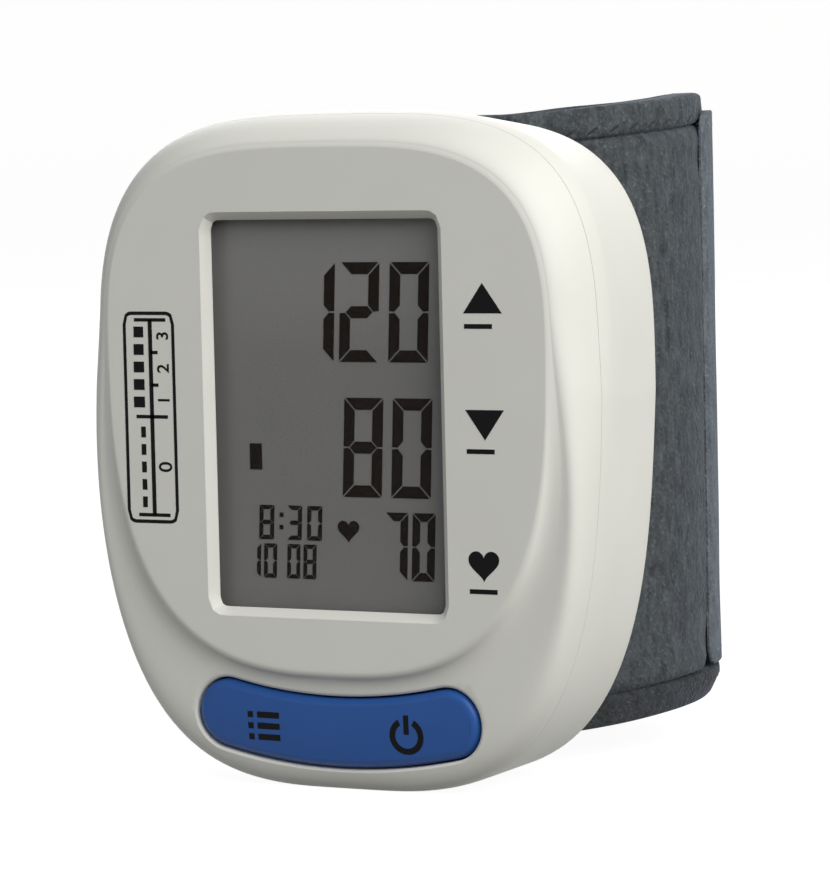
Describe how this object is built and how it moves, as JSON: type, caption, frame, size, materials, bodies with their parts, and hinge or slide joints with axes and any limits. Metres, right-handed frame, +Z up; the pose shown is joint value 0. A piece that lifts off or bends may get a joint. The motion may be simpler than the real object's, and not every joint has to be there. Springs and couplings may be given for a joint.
{
  "type": "wrist blood pressure monitor",
  "caption": "Wrist blood pressure monitor: rounded case with a large display, a rocking key bar, a battery cover that slides off sideways, and a closed fabric cuff behind it.",
  "frame": {"origin": "centre of the bounding box in plan, on the surface the case foot stands on", "axes": "+X to the viewer's right, +Y from the display face back to the cuff, +Z up"},
  "size_m": [0.0676, 0.0746, 0.0802],
  "materials": {
    "shell_abs": "warm white moulded ABS, fine satin texture",
    "key_abs": "blue moulded ABS, satin",
    "window_acrylic": "clear polished acrylic",
    "lcd_glass": "grey reflective liquid crystal glass",
    "natural_plastic": "natural uncoloured nylon or acetal",
    "dark_plastic": "black moulded plastic",
    "circuit_board": "green solder mask on glass epoxy",
    "steel": "bright plated steel",
    "cell_jacket": "printed foil label over a steel can",
    "silicone_hose": "translucent silicone tube",
    "black_rubber": "matte black rubber",
    "slate_fabric": "slate grey knitted loop pile",
    "lining_fabric": "smooth dark grey nylon",
    "stay_sheet": "translucent sprung plastic sheet",
    "hook_tape": "black moulded hook tape"
  },
  "bodies": {
    "case": {"front_shell": "shell_abs", "rear_shell": "shell_abs", "display_window": "window_acrylic", "lcd_glass": "lcd_glass", "lcd_frame": "natural_plastic", "zebra_strip": "black_rubber", "button_pivot_bracket": "natural_plastic", "tact_switch_left": "steel", "tact_switch_right": "steel", "circuit_board": "circuit_board", "main_chip": "dark_plastic", "buzzer": "dark_plastic", "battery_outer": "cell_jacket", "battery_inner": "cell_jacket", "contact_spring_outer": "steel", "contact_spring_inner": "steel", "contact_plate_top": "steel", "contact_plate_bottom_outer": "steel", "contact_plate_bottom_inner": "steel", "pump_motor": "steel", "pump_head": "natural_plastic", "exhaust_valve": "steel", "pressure_sensor": "natural_plastic", "air_manifold": "natural_plastic", "hose_pump": "silicone_hose", "hose_valve": "silicone_hose", "hose_sensor": "silicone_hose", "case_screw_1": "steel", "case_screw_2": "steel", "case_screw_3": "steel", "case_screw_4": "steel", "board_screw_1": "steel", "board_screw_2": "steel", "board_screw_3": "steel", "cuff_outer": "slate_fabric", "cuff_lining": "lining_fabric", "cuff_bladder": "black_rubber", "cuff_stay": "stay_sheet", "stay_clip_1": "steel", "stay_clip_2": "steel", "stay_clip_3": "steel", "stay_clip_4": "steel"},
    "key_bar": {"button_bar": "key_abs"},
    "cover": {"battery_cover": "shell_abs"},
    "flap": {"cuff_flap": "slate_fabric", "hook_patch": "hook_tape"},
    "shaft": {"pump_shaft": "steel"}
  },
  "joints": [
    {"name": "button_rock", "type": "hinge", "parent": "case", "child": "key_bar", "pos_m": [0, -0.03025, 0.00695], "axis": [0, 0, 1], "range_deg": [-1.5, 1.5], "stiffness_Nm_per_rad": 0.3},
    {"name": "battery_cover_slide", "type": "slide", "parent": "case", "child": "cover", "axis": [-1, 0, 0], "range_m": [0, 0.026]},
    {"name": "cuff_flap_peel", "type": "hinge", "parent": "case", "child": "flap", "pos_m": [-0.00328, 0.03614, 0.0406], "axis": [0, 0, 1], "range_deg": [0, 65]},
    {"name": "pump_spin", "type": "hinge", "parent": "case", "child": "shaft", "pos_m": [0.0146, -0.02065, 0.0366], "axis": [0, 0, 1], "continuous": true}
  ]
}
